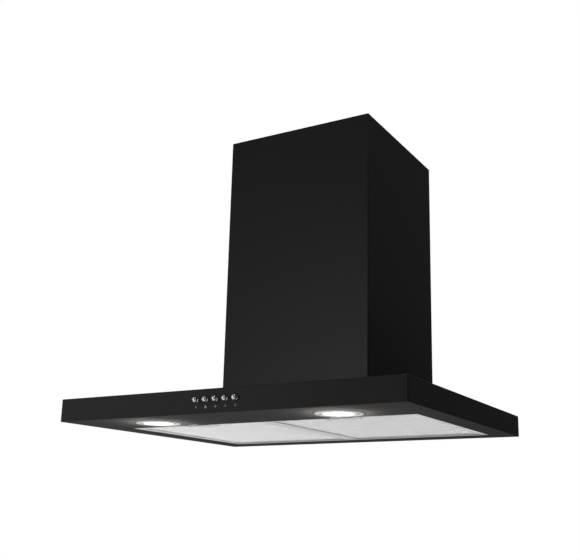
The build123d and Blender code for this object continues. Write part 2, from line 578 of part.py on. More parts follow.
def lamp_cup(side):
    """The metal cup behind the panel that holds the lamp, with a tab for each screw."""
    x = side * LAMP_X
    cup = Pos(x, LAMP_Y, 0) * Rot(0, 0, LAMP_SCREW_TURN) * block(-33, 33, -5, 5, SHEET, 4)
    cup += rod_z(x, LAMP_Y, 0, LAMP_CUP_H, LAMP_CUP_R)
    cup -= rod_z(x, LAMP_Y, -1, LAMP_CUP_H - LAMP_CUP_WALL, LAMP_CUP_R - LAMP_CUP_WALL)
    cup += rod_z(x, LAMP_Y, LAMP_CUP_H, LAMP_CUP_H + 5, 6)
    for screw_x, y in lamp_screw_places(side):
        cup -= rod_z(screw_x, y, -1, 5, LAMP_SCREW_R)
    return cup


def lamp_carriers():
    """The rings inside the cups that the lenses and the boards sit on."""
    carriers = []
    for side in SIDES.values():
        ring = rod_z(side * LAMP_X, LAMP_Y, LAMP_SEAT_Z, BOARD_Z, LAMP_CUP_R - LAMP_CUP_WALL)
        carriers.append(ring - rod_z(side * LAMP_X, LAMP_Y, 1, BOARD_Z + 1, LAMP_LENS_R - 2))
    return group(*carriers)


def lamp_boards():
    """The round light boards, each with a ring of emitters below it."""
    boards = []
    for side in SIDES.values():
        x = side * LAMP_X
        board = rod_z(x, LAMP_Y, BOARD_Z, BOARD_Z + BOARD_T, LAMP_CUP_R - LAMP_CUP_WALL)
        for i in range(EMITTER_COUNT):
            a = 2 * math.pi * i / EMITTER_COUNT
            place = (x + EMITTER_RING_R * math.cos(a), LAMP_Y + EMITTER_RING_R * math.sin(a))
            board += rod_z(*place, BOARD_Z - 1, BOARD_Z, EMITTER_R)
        boards.append(board)
    return group(*boards)


def lamp_screws():
    """Four screws that hold the lamp rings, heads sunk in the rings."""
    screws = []
    for side in SIDES.values():
        for x, y in lamp_screw_places(side):
            head = {"r": LAMP_SCREW_R, "head_r": 2.7, "head_h": LAMP_SCREW_HEAD_H}
            screws.append(pan_screw(x, y, LAMP_SCREW_SEAT, -1, 5, **head))
    return group(*screws)


# ---- controls ----------------------------------------------------------------------------
def button_places():
    """Button centres along X, left to right."""
    return [BUTTON_PITCH * (i - (len(BUTTONS) - 1) / 2) for i in range(len(BUTTONS))]


def control_button(i):
    """A round push button with a domed tip, a retaining flange and a stem."""
    x = button_places()[i]
    tip, flange_back = FRONT_Y - BUTTON_PROUD, BUTTON_FLANGE_Y + BUTTON_FLANGE_T
    cap = rod_y(x, tip, BUTTON_FLANGE_Y, BUTTON_Z, BUTTON_R)
    cap = fillet([e for e in cap.edges() if e.center().Y < tip + 0.01], BUTTON_DOME)
    cap += rod_y(x, BUTTON_FLANGE_Y, flange_back, BUTTON_Z, BUTTON_R + 1.1)
    return cap + rod_y(x, flange_back, BLOCK_FRONT + 5, BUTTON_Z, STEM_R)


def button_spring(i):
    """The return spring between a button's flange and the switch body."""
    start = BUTTON_FLANGE_Y + BUTTON_FLANGE_T + 0.1
    return coil_spring(button_places()[i], start, BLOCK_FRONT - 0.1, BUTTON_Z, 2.8, 0.35, 4)


def switch_block():
    """The switch body behind the buttons, with a bore for each stem and its terminals."""
    half = button_places()[-1] + 9
    body = block(-half, half, BLOCK_FRONT, BLOCK_BACK, 12, 29)
    body += block(-half - 8, half + 8, BLOCK_FRONT, BLOCK_FRONT + 3, 12, 29)
    for x in button_places():
        body -= rod_y(x, BLOCK_FRONT - 1, BLOCK_FRONT + 6 + BUTTON_TRAVEL, BUTTON_Z, STEM_R + 0.1)
        body += block(x - 3, x - 2.2, BLOCK_BACK, BLOCK_BACK + 7, 17, 22)
        body += block(x + 2.2, x + 3, BLOCK_BACK, BLOCK_BACK + 7, 17, 22)
    return body


def switch_bracket():
    """The folded strip that carries the switch body from the underside panel."""
    half = button_places()[-1] + 17
    strip = block(-half, half, BLOCK_FRONT - 1, BLOCK_BACK, SHEET, 2 * SHEET)
    for side in SIDES.values():
        x0, x1 = sorted((side * half, side * (half - 7)))
        strip += block(x0, x1, BLOCK_FRONT - SHEET, BLOCK_FRONT, SHEET, 29)
    return strip


def control_icons():
    """Printed marks under the buttons: a bulb, three fans and a ring."""
    marks = []
    for i, x in enumerate(button_places()):
        face = Pos(x, ICON_Z) * icon_face(BUTTONS[i])
        place = Plane(origin=(0, FRONT_Y, 0), x_dir=(1, 0, 0), z_dir=(0, -1, 0))
        marks.append(extrude(place * face, amount=ICON_T))
    return group(*marks)


def fan_face(blades, blade_half_w, hub_r):
    """A fan pictogram: pointed blades around a hub."""
    r = ICON_SIZE / 2
    leaf = make_face(Polyline((0, 0), (blade_half_w, r * 0.6), (0, r), (-blade_half_w, r * 0.6), (0, 0)))
    fan = Circle(hub_r)
    for k in range(blades):
        fan += Rot(0, 0, 360 / blades * k) * leaf
    return fan


def icon_face(name):
    """A generic pictogram, in its own XY plane."""
    r = ICON_SIZE / 2
    if name == "light":
        bulb = Pos(0, r * 0.3) * (Circle(r * 0.5) - Circle(r * 0.34))
        foot = Pos(0, -r * 0.5) * Rectangle(r * 0.42, r * 0.16)
        return bulb + Pos(0, -r * 0.26) * Rectangle(r * 0.42, r * 0.16) + foot
    if name == "off":
        return Circle(r * 0.6) - Circle(r * 0.46)
    blades, half_w, hub_r = {
        "speed_low": (3, 0.42, 0.5),
        "speed_medium": (4, 0.48, 0.6),
        "speed_high": (5, 0.8, 1.2),
    }[name]
    return fan_face(blades, half_w, hub_r)


# ---- grease filters ----------------------------------------------------------------------
def tab_places(filter_x):
    """Where a filter's two rear tabs are, along X."""
    return [filter_x - TAB_X, filter_x + TAB_X]


def filter_frame(side):
    """The folded aluminium frame, with its latch pocket and two rear tabs."""
    x = side * FILTER_X
    half = FILTER_W / 2
    x0, x1 = x - half, x + half
    y0, y1 = FILTER_FRONT, FILTER_BACK
    skin, border = FILTER_SKIN, FILTER_BORDER
    frame = block(x0, x1, y0, y1, FILTER_Z, FILTER_TOP)
    frame -= block(x0 + border, x1 - border, y0 + border, y1 - border, 0, FILTER_TOP + 1)
    frame -= block(x0 + skin, x1 - skin, y0 + skin, y1 - skin, FILTER_Z + skin, FILTER_TOP - skin)
    w, inside, mouth = LATCH_HALF_W + 1, LATCH_HALF_W, LATCH_HALF_W - 3
    rear = y0 + LATCH_POCKET_L
    floor = FILTER_Z + skin
    frame += block(x - w, x + w, y0, rear + 1, FILTER_Z, FILTER_TOP)
    frame -= block(x - inside, x + inside, y0 + skin, rear, floor, POCKET_CEILING)
    frame -= block(x - mouth, x + mouth, y0 + 4, rear, 0, floor + 1)
    frame -= block(x - inside, x + inside, y0 - 1, rear, POCKET_CEILING + skin, FILTER_TOP + 1)
    frame += block(x - w, x + w, y0, y0 + skin, POCKET_CEILING, FILTER_TOP)
    for rail_x in (x - inside, x + mouth):
        frame += block(rail_x, rail_x + 3, y0 + skin, rear, floor, LATCH_Z - CONTACT_GAP)
    bolt, bolt_top = BOLT_HALF_W + CONTACT_GAP, LATCH_Z + LATCH_T + 0.2
    frame -= block(x - bolt, x + bolt, y0 - 1, y0 + skin + 1, LATCH_Z - 0.2, bolt_top)
    for cx, sx in ((x0, 1), (x1, -1)):
        for cy, sy in ((y0, 1), (y1, -1)):
            mitre = Rot(0, 0, sx * sy * 45) * Box(MITRE_L, MITRE_W, MITRE_DEPTH)
            frame -= Pos(cx + sx * border / 2, cy + sy * border / 2, FILTER_Z + MITRE_DEPTH / 2) * mitre
    for tab_x in tab_places(x):
        t0, t1 = tab_x - TAB_HALF_W, tab_x + TAB_HALF_W
        frame += block(t0, t1, y1 - skin, OPEN_BACK + 5, PIVOT_Z - 0.5, PIVOT_Z + 0.5)
    return frame


def filter_mesh(side):
    """The pack of three thin mesh layers held in the frame."""
    x = side * FILTER_X
    half, pocket = FILTER_W / 2 - FILTER_SKIN, LATCH_HALF_W + 1
    y0, y1 = FILTER_FRONT + FILTER_SKIN, FILTER_BACK - FILTER_SKIN
    layers = []
    for z in MESH_LEVELS:
        layer = block(x - half, x + half, y0, y1, z, z + MESH_T)
        layer -= block(x - pocket, x + pocket, y0 - 1, FILTER_FRONT + LATCH_POCKET_L + 1, 0, FILTER_TOP)
        layers.append(layer)
    return group(*layers)


def latch_rear():
    """The rear edge of the latch slider."""
    return FILTER_FRONT + FILTER_SKIN + CONTACT_GAP + LATCH_L


def filter_latch(side):
    """The sliding latch: a plate with a ribbed finger grip and a bolt nose."""
    x = side * FILTER_X
    y0 = FILTER_FRONT + FILTER_SKIN + CONTACT_GAP
    wide, top = LATCH_HALF_W - CONTACT_GAP, LATCH_Z + LATCH_T
    slider = block(x - wide, x + wide, y0, latch_rear(), LATCH_Z, top)
    grip = LATCH_HALF_W - 5
    slider += block(x - grip, x + grip, y0 + 9.5, latch_rear(), 1.4, 5)
    for k in range(3):
        rib = y0 + 4 + 1.8 * k
        slider += block(x - grip, x + grip, rib, rib + 0.8, LATCH_Z - 1, LATCH_Z + 0.1)
    bolt_front = FILTER_FRONT - BOLT_REACH
    return slider + block(x - BOLT_HALF_W, x + BOLT_HALF_W, bolt_front, y0, LATCH_Z + 0.1, top)


def latch_spring(side):
    """Two return springs behind the latch, side by side."""
    y0, y1 = latch_rear() + 0.1, FILTER_FRONT + LATCH_POCKET_L - 0.1
    places = [side * FILTER_X + dx for dx in (-14, 14)]
    return group(*[coil_spring(x, y0, y1, 5.6, 1.1, 0.25, 7) for x in places])


def latch_catch(side):
    """The spring-steel clip over the notch: the bolt rests on its lip."""
    x, half = side * FILTER_X, CATCH_HALF_W
    leaf_back, wall = OPEN_FRONT - CATCH_BACK, OPEN_FRONT - SHEET
    foot, lip = 1.6, 4.1
    clip = block(x - half, x + half, leaf_back - CATCH_T, leaf_back, foot, 11)
    clip += block(x - BOLT_HALF_W, x + BOLT_HALF_W, leaf_back, wall - 0.4, lip, lip + CATCH_T)
    for a, b in ((-half, -CATCH_FOOT_IN), (CATCH_FOOT_IN, half)):
        clip += block(x + a, x + b, leaf_back, wall, foot, foot + CATCH_T)
        clip += block(x + a, x + b, wall - CATCH_T, wall, foot, 8)
    return clip


# ---- internal leads ----------------------------------------------------------------------
def lead(points, radii):
    """A round lead along straight runs joined by tangent arcs."""
    path = FilletPolyline(*points, radius=radii)
    section = Plane(origin=path @ 0, z_dir=path % 0) * Circle(LEAD_R)
    return sweep(section, path=path)


def wiring():
    """The leads from the lamps and the switches, under the canopy roof and up to the terminals."""
    leads = []
    for side, hole_x in zip(SIDES.values(), (LEAD_HOLES[0], LEAD_HOLES[2])):
        x, start = side * LAMP_X, LAMP_Y + 6
        points = [(x, start, LEAD_START_Z), (x, start + 12, LEAD_START_Z), (x, start + 46, LEAD_Z)]
        points += [(x - side * 10, -330, LEAD_Z), (hole_x, -272, LEAD_Z), (hole_x, LEAD_RISE_Y, LEAD_Z)]
        leads.append(lead(points + [(hole_x, LEAD_RISE_Y, BLOWER_TOP + 6)], [30, 50, 18, 15, 5]))
    x = LEAD_HOLES[1]
    points = [(x, BLOCK_BACK, LEAD_START_Z), (x, BLOCK_BACK + 12, LEAD_START_Z)]
    points += [(x, BLOCK_BACK + 50, LEAD_Z), (x, LEAD_RISE_Y, LEAD_Z), (x, LEAD_RISE_Y, BLOWER_TOP + 6)]
    leads.append(lead(points, [30, 50, 5]))
    return group(*leads)


NODES = {
    "canopy_shell": canopy_shell,
    "underside_panel": underside_panel,
    "lower_chimney": lower_chimney,
    "upper_chimney": upper_chimney,
    "upper_chimney_bracket": upper_chimney_bracket,
    "bracket_screws": bracket_screws,
    "wall_plate": wall_plate,
    "blower_box": blower_box,
    "canopy_screws": canopy_screws,
    "volute_left": lambda: volute_half(-1),
    "volute_right": lambda: volute_half(1),
    "impeller": impeller,
    "motor_shaft": motor_shaft,
    "motor_body": motor_body,
    "motor_bearings": motor_bearings,
    "motor_bracket": motor_bracket,
    "motor_screws": motor_screws,
    "capacitor": capacitor,
    "outlet_collar": outlet_collar,
    "collar_screws": collar_screws,
    "flap_pin": flap_pin,
    "terminal_box": terminal_box,
    "terminal_lid": terminal_lid,
    "terminal_block": terminal_block,
    "cable_gland": cable_gland,
    "lamp_carriers": lamp_carriers,
    "lamp_boards": lamp_boards,
    "lamp_screws": lamp_screws,
    "switch_block": switch_block,
    "switch_bracket": switch_bracket,
    "control_icons": control_icons,
    "wiring": wiring,
}
SIDED_NODES = {
    "damper_flap": damper_flap,
    "lamp_ring": lamp_ring,
    "lamp_lens": lamp_lens,
    "lamp_cup": lamp_cup,
    "filter_frame": filter_frame,
    "filter_mesh": filter_mesh,
    "filter_latch": filter_latch,
    "latch_spring": latch_spring,
    "latch_catch": latch_catch,
}


def main():
    """Makes every node and writes it to its own file."""
    os.makedirs("parts", exist_ok=True)
    shapes = {name: make() for name, make in NODES.items()}
    for name, make in SIDED_NODES.items():
        for word, side in SIDES.items():
            shapes[f"{name}_{word}"] = make(side)
    for i, name in enumerate(BUTTONS):
        shapes[f"button_{name}"] = control_button(i)
        shapes[f"button_spring_{name}"] = button_spring(i)
    for name, shape in shapes.items():
        export_step(shape, f"parts/{name}.step")
    print(len(shapes), "nodes")


main()
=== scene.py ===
import json
import math
import random

import bpy
from mathutils import Matrix, Vector


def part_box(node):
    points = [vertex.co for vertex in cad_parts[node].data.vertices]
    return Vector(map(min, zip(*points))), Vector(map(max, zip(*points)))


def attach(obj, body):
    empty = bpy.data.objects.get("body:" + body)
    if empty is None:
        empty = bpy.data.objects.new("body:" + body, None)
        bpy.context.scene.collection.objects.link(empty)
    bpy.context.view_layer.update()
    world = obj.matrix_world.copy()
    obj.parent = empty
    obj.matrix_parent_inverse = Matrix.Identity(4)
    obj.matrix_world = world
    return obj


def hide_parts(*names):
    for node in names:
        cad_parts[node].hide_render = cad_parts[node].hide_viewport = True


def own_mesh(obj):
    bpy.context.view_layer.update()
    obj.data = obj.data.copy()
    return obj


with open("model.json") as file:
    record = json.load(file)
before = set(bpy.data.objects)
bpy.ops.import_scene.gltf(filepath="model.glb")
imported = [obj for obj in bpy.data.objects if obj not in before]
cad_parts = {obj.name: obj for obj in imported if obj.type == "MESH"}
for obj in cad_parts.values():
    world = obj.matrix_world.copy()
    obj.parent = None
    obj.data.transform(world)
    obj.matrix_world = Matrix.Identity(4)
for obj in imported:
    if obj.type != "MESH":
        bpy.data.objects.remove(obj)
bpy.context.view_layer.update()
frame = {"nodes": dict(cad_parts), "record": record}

# Looks for a wall-mounted chimney range hood. Metres; +X right, +Y into the wall, +Z up, origin on
# the wall plane at mid width, level with the underside of the canopy.

NODES = frame["nodes"]
SIDES = ("left", "right")
BUTTONS = ("light", "speed_high", "speed_medium", "speed_low", "off")
COVERS = ("lower_chimney", "upper_chimney")
MM = 0.001

# ---- camera and floor ---------------------------------------------------------------------
EYE = Vector((0.7381, -1.5121, -0.1525))
AZIMUTH, PITCH, ROLL = math.radians(28.44), math.radians(14.05), math.radians(0.72)
LENS, SHIFT_X, SHIFT_Y = 54.15, -0.0682, 0.0443
FLOOR_Z, FLOOR_SIZE = -1.4, 9.0

# ---- lights: the point they aim at, and the colours of the lamps ---------------------------
AIM = (0, -0.3, 0.2)
FRONT_LIGHTS = (  # name, place, size, watts
    ("key", (-1.9, -2.3, 1.1), (1.8, 1.8), 9),
    ("low", (-1.6, -2.2, -0.2), (1.4, 1.4), 6),
    ("face", (-0.8, -2.6, 0.05), (1.0, 0.8), 2.4),
)
SKY_LIGHT, GROUND_LIGHT = 0.14, 0.0
LENS_GLOW, LAMP_GLOW, RIM_GLOW = (1.0, 0.975, 0.93), (1.0, 0.96, 0.9), (1.0, 0.97, 0.92)


# ---- places -------------------------------------------------------------------------------
def mid(name):
    """The centre of a CAD node's box."""
    low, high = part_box(name)
    return (low + high) / 2


# ---- node helpers -------------------------------------------------------------------------
class Shader:
    """A material with a Principled shader, and short calls for the nodes that feed it."""

    def __init__(self, name, color, rough, metallic=0.0):
        self.mat = bpy.data.materials.new(name)
        self.mat.use_nodes = True
        self.tree = self.mat.node_tree
        self.bsdf = self.tree.nodes["Principled BSDF"]
        self.coord = self.add("ShaderNodeTexCoord").outputs["Object"]
        self.put("Base Color", (*color, 1.0))
        self.put("Roughness", rough)
        self.put("Metallic", metallic)

    def add(self, kind, **settings):
        node = self.tree.nodes.new(kind)
        for key, value in settings.items():
            setattr(node, key, value)
        return node

    def link(self, a, b):
        self.tree.links.new(a, b)

    def put(self, socket, value):
        self.bsdf.inputs[socket].default_value = value

    def scaled(self, stretch):
        """Object coordinates, stretched along the axes."""
        mapping = self.add("ShaderNodeMapping")
        mapping.inputs["Scale"].default_value = stretch
        self.link(self.coord, mapping.inputs["Vector"])
        return mapping.outputs["Vector"]

    def noise(self, scale, detail, stretch=(1, 1, 1)):
        node = self.add("ShaderNodeTexNoise")
        node.inputs["Scale"].default_value = scale
        node.inputs["Detail"].default_value = detail
        self.link(self.scaled(stretch), node.inputs["Vector"])
        return node.outputs["Fac"]

    def cells(self, scale):
        """A random grey for each cell of a crystal-like pattern."""
        node = self.add("ShaderNodeTexVoronoi")
        node.inputs["Scale"].default_value = scale
        self.link(self.coord, node.inputs["Vector"])
        grey = self.add("ShaderNodeRGBToBW")
        self.link(node.outputs["Color"], grey.inputs["Color"])
        return grey.outputs["Val"]

    def axes(self):
        """Object coordinates, split into X, Y and Z."""
        split = self.add("ShaderNodeSeparateXYZ")
        self.link(self.coord, split.inputs[0])
        return split.outputs

    def span(self, value, low, high, start=0.3, end=0.7):
        """A number between two, by a value that runs from start to end."""
        node = self.add("ShaderNodeMapRange")
        for key, number in (("From Min", start), ("From Max", end), ("To Min", low), ("To Max", high)):
            node.inputs[key].default_value = number
        self.link(value, node.inputs["Value"])
        return node.outputs["Result"]

    def between(self, value, low, high, start=0.3, end=0.7):
        """A colour between two, by a value that runs from start to end."""
        ramp = self.add("ShaderNodeValToRGB")
        for element, position, color in zip(ramp.color_ramp.elements, (start, end), (low, high)):
            element.position = position
            element.color = (*color, 1.0)
        self.link(value, ramp.inputs["Fac"])
        return ramp.outputs["Color"]

    def paint(self, value, low, high, start=0.3, end=0.7):
        self.link(self.between(value, low, high, start, end), self.bsdf.inputs["Base Color"])

    def roughen(self, value, low, high, start=0.3, end=0.7):
        self.link(self.span(value, low, high, start, end), self.bsdf.inputs["Roughness"])

    def bump(self, height, strength, distance, normal=None):
        node = self.add("ShaderNodeBump")
        node.inputs["Strength"].default_value = strength
        node.inputs["Distance"].default_value = distance
        self.link(height, node.inputs["Height"])
        if normal is not None:
            self.link(normal, node.inputs["Normal"])
        self.link(node.outputs["Normal"], self.bsdf.inputs["Normal"])
        return node.outputs["Normal"]


# ---- materials ----------------------------------------------------------------------------
def powder_coat():
    """Matte black powder coat: a fine orange peel, and a very slight change of shade."""
    m = Shader("powder_coat", (0.013, 0.013, 0.0132), 0.48)
    m.put("Specular IOR Level", 0.22)
    m.paint(m.noise(4, 2), (0.0125, 0.0125, 0.0127), (0.0137, 0.0137, 0.0139))
    m.roughen(m.noise(240, 3), 0.45, 0.51)
    broad = m.bump(m.noise(900, 2), 0.06, 0.05 * MM)
    m.bump(m.noise(2600, 2), 0.12, 0.03 * MM, broad)
    return m.mat


def galvanised():
    """Hot-dip galvanised sheet, with its spangle."""
    m = Shader("galvanised_steel", (0.5, 0.51, 0.52), 0.42, 1.0)
    spangle = m.cells(210)
    m.paint(spangle, (0.44, 0.45, 0.46), (0.56, 0.57, 0.58), 0.2, 0.8)
    m.roughen(spangle, 0.34, 0.5, 0.2, 0.8)
    m.bump(m.noise(300, 3), 0.15, 0.1 * MM)
    return m.mat


def shaded_towards_rear(m, color):
    """Takes a filter's colour down towards its rear edge: painted shade, darkening the metal where the
    rear of the filter lies in shadow.
    """
    mix = m.add("ShaderNodeMixRGB", blend_type="MULTIPLY")
    # Painted shade: none from 80 mm in front of the wall, full from 52 mm in front of it to the rear edge.
    m.link(m.span(m.axes()["Y"], 0.0, 1.0, -80 * MM, -52 * MM), mix.inputs["Fac"])
    m.link(color, mix.inputs["Color1"])
    mix.inputs["Color2"].default_value = (0.56, 0.56, 0.56, 1.0)
    m.link(mix.outputs["Color"], m.bsdf.inputs["Base Color"])


def rolled_aluminium():
    """Bright aluminium strip with fine rolling lines."""
    m = Shader("rolled_aluminium", (0.9, 0.9, 0.9), 0.45, 0.15)
    lines = m.noise(90, 4, (1, 14, 14))
    # The rolling lines' colour, with painted shade towards the rear edge.
    shaded_towards_rear(m, m.between(lines, (0.88, 0.88, 0.885), (0.94, 0.94, 0.94)))
    m.roughen(lines, 0.34, 0.5)
    m.bump(m.noise(900, 2, (0.2, 1, 1)), 0.12, 0.05 * MM)
    return m.mat


def mesh_aluminium():
    """Slit and stretched aluminium foil: bright strands with a fine tooth."""
    m = Shader("mesh_aluminium", (0.95, 0.95, 0.95), 0.5, 0.6)
    # The strands' colour, with painted shade towards the rear edge.
    shaded_towards_rear(m, m.between(m.noise(40, 3), (0.92, 0.922, 0.925), (0.965, 0.965, 0.965)))
    m.roughen(m.noise(700, 2), 0.36, 0.56)
    m.bump(m.noise(1500, 2), 0.25, 0.08 * MM)
    return m.mat


def chrome():
    """Polished chrome plate with a faint waviness."""
    m = Shader("polished_chrome", (0.86, 0.86, 0.87), 0.08, 1.0)
    m.roughen(m.noise(500, 3), 0.05, 0.12)
    m.bump(m.noise(260, 2), 0.04, 0.03 * MM)
    return m.mat


def satin_nickel():
    """The lamp rings' trim: pale, with a soft satin tooth."""
    m = Shader("satin_nickel", (0.92, 0.92, 0.91), 0.45, 0.3)
    m.paint(m.noise(160, 3), (0.9, 0.9, 0.89), (0.95, 0.95, 0.94))
    m.roughen(m.noise(600, 3), 0.38, 0.52)
    m.bump(m.noise(1800, 2), 0.1, 0.04 * MM)
    return m.mat


def shade(color, factor):
    """A colour made darker or lighter."""
    return tuple(c * factor for c in color)


def metal(name, color, rough, grain=(14, 1, 1)):
    """Bare or plated metal, its grain finer along the axes with the larger numbers."""
    m = Shader(name, color, rough, 1.0)
    lines = m.noise(120, 4, grain)
    m.paint(lines, shade(color, 0.88), shade(color, 1.12))
    m.roughen(lines, rough * 0.8, rough * 1.25)
    m.bump(lines, 0.1, 0.05 * MM)
    return m.mat


def moulded(name, color, rough):
    """Moulded plastic or thick enamel, with a slightly grainy skin."""
    m = Shader(name, color, rough)
    m.paint(m.noise(30, 3), shade(color, 0.88), color)
    m.roughen(m.noise(300, 3), rough * 0.85, rough * 1.2)
    m.bump(m.noise(1600, 2), 0.1, 0.08 * MM)
    return m.mat


def frosted_lens():
    """The lit diffuser: brightest over the emitters, softer at the rim, and the same in both lamps."""
    m = Shader("frosted_lens", (0.9, 0.89, 0.86), 0.35)
    centre = mid("lamp_lens_right")
    axes = m.axes()
    fold = m.add("ShaderNodeMath", operation="ABSOLUTE")
    m.link(axes["X"], fold.inputs[0])
    join = m.add("ShaderNodeCombineXYZ")
    m.link(fold.outputs[0], join.inputs["X"])
    m.link(axes["Y"], join.inputs["Y"])
    away = m.add("ShaderNodeVectorMath", operation="DISTANCE")
    away.inputs[1].default_value = (centre.x, centre.y, 0)
    m.link(join.outputs[0], away.inputs[0])
    glow = m.span(away.outputs["Value"], 1.7, 1.0, 10 * MM, 23 * MM)
    m.link(glow, m.bsdf.inputs["Emission Strength"])
    m.put("Emission Color", (*LENS_GLOW, 1.0))
    m.bump(m.noise(1200, 2), 0.15, 0.05 * MM)
    return m.mat


def printed_mark():
    """Grey ink of the marks under the buttons."""
    m = Shader("printed_mark", (0.5, 0.5, 0.5), 0.5)
    m.paint(m.noise(900, 2), (0.42, 0.42, 0.42), (0.52, 0.52, 0.52))
    m.bump(m.noise(2500, 1), 0.1, 0.02 * MM)
    return m.mat


MATERIALS = {
    "black_coat": powder_coat(),
    "galvanised_steel": galvanised(),
    "dark_plastic": moulded("dark_plastic", (0.022, 0.022, 0.024), 0.5),
    "impeller_plastic": moulded("impeller_plastic", (0.05, 0.053, 0.058), 0.42),
    "screw_steel": metal("zinc_plate", (0.62, 0.63, 0.66), 0.32),
    "screw_dark": metal("black_zinc", (0.1, 0.1, 0.1), 0.38),
    "shaft_steel": metal("ground_steel", (0.6, 0.6, 0.61), 0.25, (1, 14, 14)),
    "motor_steel": moulded("motor_enamel", (0.09, 0.095, 0.1), 0.36),
    "bearing_bronze": metal("sintered_bronze", (0.5, 0.33, 0.16), 0.45),
    "capacitor_white": moulded("capacitor_shell", (0.72, 0.72, 0.69), 0.34),
    "terminal_plastic": moulded("terminal_nylon", (0.66, 0.65, 0.6), 0.42),
    "lamp_board_white": moulded("board_resist", (0.8, 0.8, 0.78), 0.3),
    "icon_print": printed_mark(),
    "lead_sheath": moulded("lead_sheath", (0.2, 0.2, 0.2), 0.55),
    "lamp_trim": satin_nickel(),
    "lamp_diffuser": frosted_lens(),
    "filter_aluminium": rolled_aluminium(),
    "mesh_aluminium": mesh_aluminium(),
    "latch_steel": metal("brushed_stainless", (0.66, 0.66, 0.67), 0.3, (1, 14, 14)),
    "spring_steel": metal("spring_steel", (0.5, 0.5, 0.52), 0.3, (6, 6, 6)),
    "button_chrome": chrome(),
}


# ---- carried-over CAD nodes ---------------------------------------------------------------
BEVEL_WIDTHS = {  # millimetres
    "underside_panel": 0.3, "lower_chimney": 0.35, "upper_chimney": 0.35,
    "blower_box": 0.4, "wall_plate": 0.4, "terminal_box": 0.5, "terminal_lid": 0.5, "outlet_collar": 0.4,
    "lamp_ring_left": 0.2, "lamp_ring_right": 0.2,
}


def soften(node, width):
    """Rounds a CAD node's sharp edges by modifiers, so that they catch the light."""
    weld = node.modifiers.new("weld", "WELD")
    weld.merge_threshold = 0.01 * MM
    bevel = node.modifiers.new("bevel", "BEVEL")
    bevel.width = width * MM
    bevel.segments = 2
    bevel.limit_method = "ANGLE"
    bevel.angle_limit = math.radians(40)
    bevel.harden_normals = True
    bevel.use_clamp_overlap = True


def dress_nodes():
    """Gives each CAD node the material of its slot, and soft edges to the ones in the list."""
    slots = {s["node"]: s["material_slot"] for s in frame["record"]["subparts"]}
    for name, node in NODES.items():
        node.data.materials.clear()
        node.data.materials.append(MATERIALS[slots[name]])
        if name in BEVEL_WIDTHS:
            soften(node, BEVEL_WIDTHS[name])


# ---- mesh helpers -------------------------------------------------------------------------
def add_object(name, data):
    """An object of the given mesh, light or camera, in the scene."""
    obj = bpy.data.objects.new(name, data)
    bpy.context.scene.collection.objects.link(obj)
    return obj


def new_object(name, verts, faces, slot, body, smooth=True):
    """A piece of the hood that moves with a body and has a material slot's look."""
    mesh = bpy.data.meshes.new(name)
    mesh.from_pydata(verts, [], faces)
    mesh.update()
    mesh.materials.append(MATERIALS[slot])
    for polygon in mesh.polygons:
        polygon.use_smooth = smooth
    obj = add_object(name, mesh)
    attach(obj, body)
    return obj


def lathe(profile, centre, axis, segments):
    """Vertices and faces of (radius, height) points turned about an axis, closed at radius 0."""
    axis = Vector(axis).normalized()
    side = axis.orthogonal().normalized()
    other = axis.cross(side)
    verts, rings = [], []
    for r, h in profile:
        if r < 1e-9:
            rings.append([len(verts)] * segments)
            verts.append(centre + axis * h)
            continue
        rings.append(list(range(len(verts), len(verts) + segments)))
        for i in range(segments):
            a = 2 * math.pi * i / segments
            verts.append(centre + axis * h + (side * math.cos(a) + other * math.sin(a)) * r)
    faces = []
    for low, high in zip(rings, rings[1:]):
        for i in range(segments):
            j = (i + 1) % segments
            face = list(dict.fromkeys((low[i], low[j], high[j], high[i])))
            if len(face) > 2:
                faces.append(face)
    return verts, faces


def arc(cx, cy, r, start, end, steps):
    """Points of an arc in a profile's plane, in degrees."""
    angles = [math.radians(start + (end - start) * k / steps) for k in range(steps + 1)]
    return [(cx + r * math.cos(a), cy + r * math.sin(a)) for a in angles]


# ---- buttons ------------------------------------------------------------------------------
BUTTON_R, BUTTON_EDGE_R, STEM_R = 3.5 * MM, 0.9 * MM, 1.9 * MM
DOME_R, DOME_RIM_R = 4.45 * MM, 2.94 * MM  # the tip's sphere, and where it meets the rounded edge
FLANGE_R, FLANGE_T, FLANGE_SET_BACK = 4.6 * MM, 1.2 * MM, 1.4 * MM


def chrome_button(name):
    """A turned chrome button: a domed tip, a straight barrel, and its hidden flange and stem."""
    node = f"button_{name}"
    low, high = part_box(node)
    centre = Vector((mid(node).x, low.y, mid(node).z))
    dome_angle = math.degrees(math.asin(DOME_RIM_R / DOME_R))
    profile = arc(0, DOME_R, DOME_R, -90, -90 + dome_angle, 10)
    edge_height = profile[-1][1] + 0.85 * BUTTON_EDGE_R
    profile += arc(BUTTON_R - BUTTON_EDGE_R, edge_height, BUTTON_EDGE_R, -62, 0, 8)
    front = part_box("canopy_shell")[0].y + FLANGE_SET_BACK - low.y
    back = front + FLANGE_T
    profile += [(BUTTON_R, front), (FLANGE_R, front), (FLANGE_R, back), (STEM_R, back)]
    profile += [(STEM_R, high.y - low.y), (0, high.y - low.y)]
    verts, faces = lathe(profile, centre, (0, 1, 0), 64)
    obj = new_object(f"chrome_{node}", verts, faces, "button_chrome", node)
    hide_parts(node)


def return_spring(node, body):
    """A copy of a CAD coil that rides on a body, in place of the CAD node."""
    obj = add_object(f"sprung_{node}", NODES[node].data.copy())
    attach(obj, body)
    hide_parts(node)
    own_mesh(obj)


def return_springs():
    for name in BUTTONS:
        return_spring(f"button_spring_{name}", "hood")
    for side in SIDES:
        return_spring(f"latch_spring_{side}", f"filter_{side}")


# ---- lamps --------------------------------------------------------------------------------
LENS_GAP, LENS_RIM_R, LENS_RIM_RISE = 0.05 * MM, 0.8 * MM, 1.3 * MM
LENS_DISH, LENS_GROOVE = 0.45 * MM, 0.1 * MM
LENS_STEPS = 40


